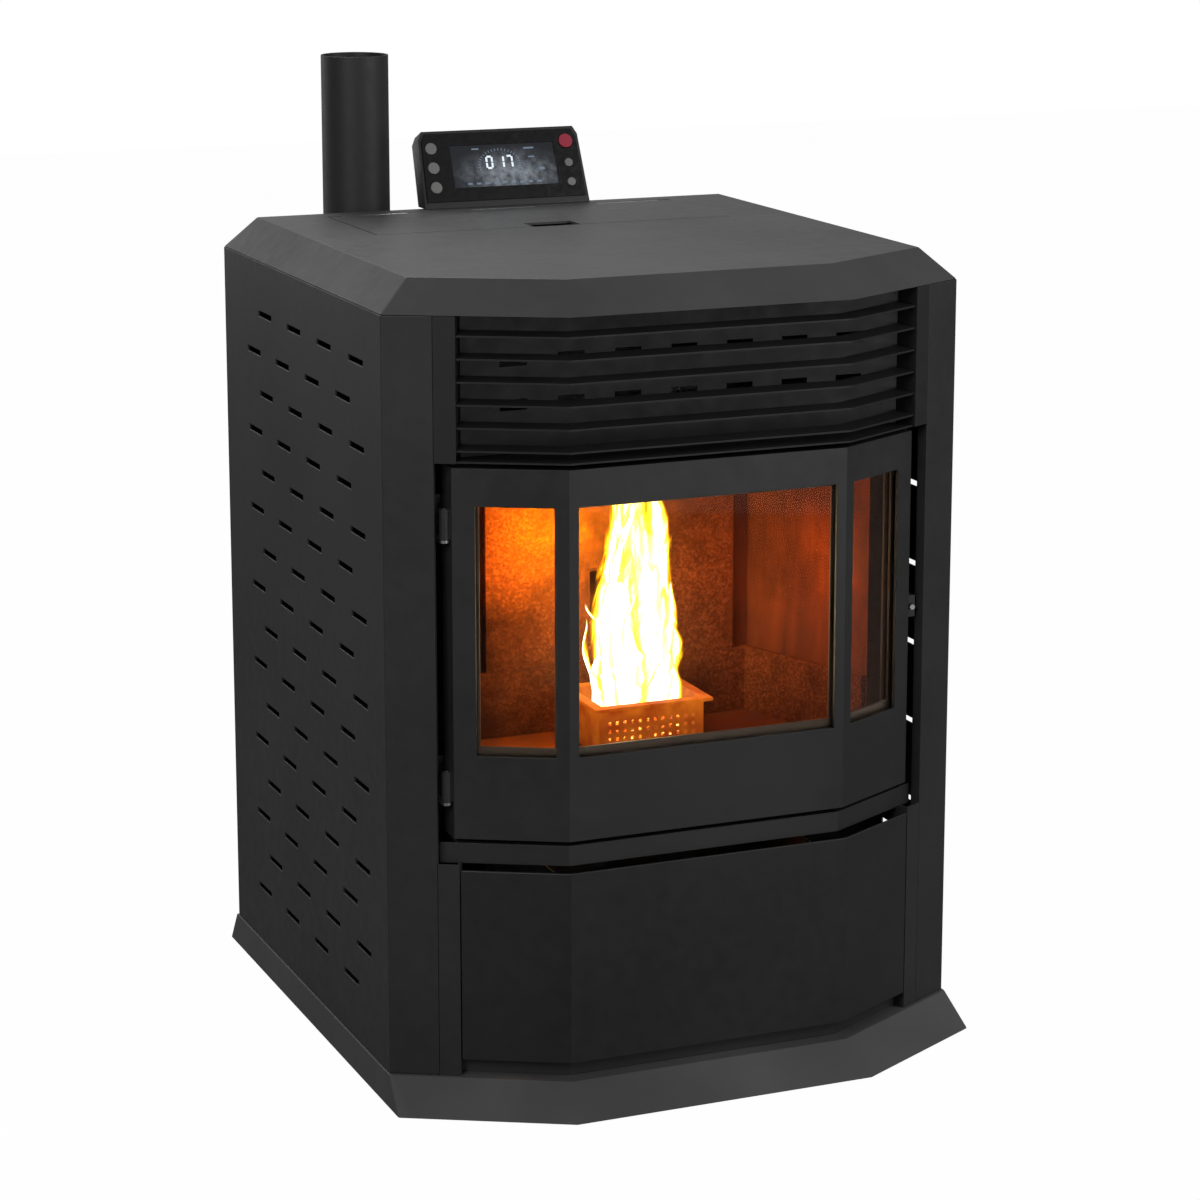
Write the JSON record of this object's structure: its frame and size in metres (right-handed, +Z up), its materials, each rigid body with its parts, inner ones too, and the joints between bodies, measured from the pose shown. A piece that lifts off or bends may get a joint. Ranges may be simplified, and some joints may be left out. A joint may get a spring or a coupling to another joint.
{
  "type": "pellet stove",
  "caption": "Freestanding pellet stove with a glazed bay fire door, louvred warm-air grille, ash drawer, hopper lid, rear flue pipe and leaning control console.",
  "frame": {"origin": "centre of the bounding box at floor level", "axes": "+Z up, +X to the right of someone facing the stove, -Y out of the fire door towards that person"},
  "size_m": [0.676, 0.7918, 1.055],
  "materials": {
    "casing_paint": "satin black textured paint",
    "top_paint": "satin dark grey paint",
    "plinth_paint": "satin dark grey paint",
    "door_paint": "satin black paint",
    "grille_paint": "matt black paint",
    "flue_enamel": "matt black enamel",
    "door_glass": "clear ceramic glass",
    "gasket_rope": "woven glass-fibre rope",
    "bright_steel": "plain steel",
    "galvanised": "galvanised sheet",
    "chamber_paint": "heat-resistant matt paint",
    "liner_board": "vermiculite board",
    "cast_iron": "bare cast iron",
    "motor_paint": "grey motor casing",
    "black_plastic": "fine-textured black plastic",
    "fascia_film": "gloss black film",
    "display_window": "tinted display window",
    "button_grey": "grey button",
    "button_red": "red button",
    "board": "green circuit board"
  },
  "bodies": {
    "casing": {"left_side_panel": "casing_paint", "right_side_panel": "casing_paint", "rear_panel": "casing_paint", "lower_frame": "casing_paint", "top_plate": "top_paint", "plinth": "plinth_paint", "grille": "grille_paint", "air_outlet_plate": "grille_paint", "flue_pipe": "flue_enamel", "flue_tee": "flue_enamel", "door_hinge_lower": "bright_steel", "door_hinge_upper": "bright_steel", "lid_hinge_leaf": "bright_steel", "igniter": "bright_steel", "base_pan": "galvanised", "drawer_runner_left": "galvanised", "drawer_runner_right": "galvanised", "burn_pot_air_box": "galvanised", "air_intake_pipe": "galvanised", "hopper": "galvanised", "auger_tube": "galvanised", "exhaust_duct": "galvanised", "convection_fan_housing": "galvanised", "warm_air_duct": "galvanised", "fire_chamber": "chamber_paint", "feed_chute": "chamber_paint", "chamber_liner": "liner_board", "chamber_back_plate": "liner_board", "baffle_plate": "cast_iron", "exhaust_fan_housing": "cast_iron", "auger_motor": "motor_paint", "exhaust_motor": "motor_paint", "convection_motor": "motor_paint", "console_housing": "black_plastic", "power_inlet": "black_plastic", "console_fascia": "fascia_film", "display": "display_window", "control_board": "board"},
    "door": {"door_frame": "door_paint", "centre_glass": "door_glass", "left_glass": "door_glass", "right_glass": "door_glass", "glass_retainer": "grille_paint", "door_gasket": "gasket_rope"},
    "latch": {"door_latch": "bright_steel"},
    "ash_drawer": {"ash_drawer_front": "door_paint", "ash_box": "galvanised"},
    "lid": {"hopper_lid": "top_paint"},
    "pot": {"burn_pot": "cast_iron"},
    "tee_cap": {"flue_tee_cap": "flue_enamel"},
    "screw": {"auger_screw": "bright_steel"},
    "impeller": {"exhaust_impeller": "bright_steel"},
    "drum": {"convection_drum": "motor_paint"},
    "rocker": {"power_switch_rocker": "black_plastic"},
    "button_left_upper_cap": {"button_left_upper": "button_grey"},
    "button_left_middle_cap": {"button_left_middle": "button_grey"},
    "button_left_lower_cap": {"button_left_lower": "button_grey"},
    "button_power_cap": {"button_power": "button_red"},
    "button_right_middle_cap": {"button_right_middle": "button_grey"},
    "button_right_lower_cap": {"button_right_lower": "button_grey"}
  },
  "joints": [
    {"name": "door_hinge", "type": "hinge", "parent": "casing", "child": "door", "pos_m": [-0.27119, -0.27949, 0.488], "axis": [0, 0, -1], "range_deg": [0, 110]},
    {"name": "door_latch_turn", "type": "hinge", "parent": "door", "child": "latch", "pos_m": [0.27013, -0.2579, 0.488], "axis": [0, -1, 0], "range_deg": [0, 90]},
    {"name": "ash_drawer_slide", "type": "slide", "parent": "casing", "child": "ash_drawer", "axis": [0, -1, 0], "range_m": [0, 0.2]},
    {"name": "hopper_lid_hinge", "type": "hinge", "parent": "casing", "child": "lid", "pos_m": [0, 0.2546, 0.873], "axis": [-1, 0, 0], "range_deg": [0, 75]},
    {"name": "burn_pot_lift", "type": "slide", "parent": "casing", "child": "pot", "axis": [0, 0, 1], "range_m": [0, 0.06]},
    {"name": "flue_tee_cap_pull", "type": "slide", "parent": "casing", "child": "tee_cap", "axis": [0, 0, -1], "range_m": [0, 0.03]},
    {"name": "auger_spin", "type": "hinge", "parent": "casing", "child": "screw", "pos_m": [0, 0.1971, 0.345], "axis": [0, -0.7431, 0.6691], "continuous": true},
    {"name": "exhaust_fan_spin", "type": "hinge", "parent": "casing", "child": "impeller", "pos_m": [-0.125, 0.0721, 0.215], "axis": [1, 0, 0], "continuous": true},
    {"name": "convection_fan_spin", "type": "hinge", "parent": "casing", "child": "drum", "pos_m": [0.11, 0.0421, 0.102], "axis": [1, 0, 0], "continuous": true},
    {"name": "power_switch_tip", "type": "hinge", "parent": "casing", "child": "rocker", "pos_m": [0.23, 0.2981, 0.15], "axis": [1, 0, 0], "range_deg": [0, 18]},
    {"name": "button_left_upper_press", "type": "slide", "parent": "casing", "child": "button_left_upper_cap", "axis": [0, 0.9205, -0.3907], "range_m": [0, 0.0012], "stiffness_N_per_m": 400},
    {"name": "button_left_middle_press", "type": "slide", "parent": "casing", "child": "button_left_middle_cap", "axis": [0, 0.9205, -0.3907], "range_m": [0, 0.0012], "stiffness_N_per_m": 400},
    {"name": "button_left_lower_press", "type": "slide", "parent": "casing", "child": "button_left_lower_cap", "axis": [0, 0.9205, -0.3907], "range_m": [0, 0.0012], "stiffness_N_per_m": 400},
    {"name": "button_power_press", "type": "slide", "parent": "casing", "child": "button_power_cap", "axis": [0, 0.9205, -0.3907], "range_m": [0, 0.0012], "stiffness_N_per_m": 400},
    {"name": "button_right_middle_press", "type": "slide", "parent": "casing", "child": "button_right_middle_cap", "axis": [0, 0.9205, -0.3907], "range_m": [0, 0.0012], "stiffness_N_per_m": 400},
    {"name": "button_right_lower_press", "type": "slide", "parent": "casing", "child": "button_right_lower_cap", "axis": [0, 0.9205, -0.3907], "range_m": [0, 0.0012], "stiffness_N_per_m": 400}
  ]
}
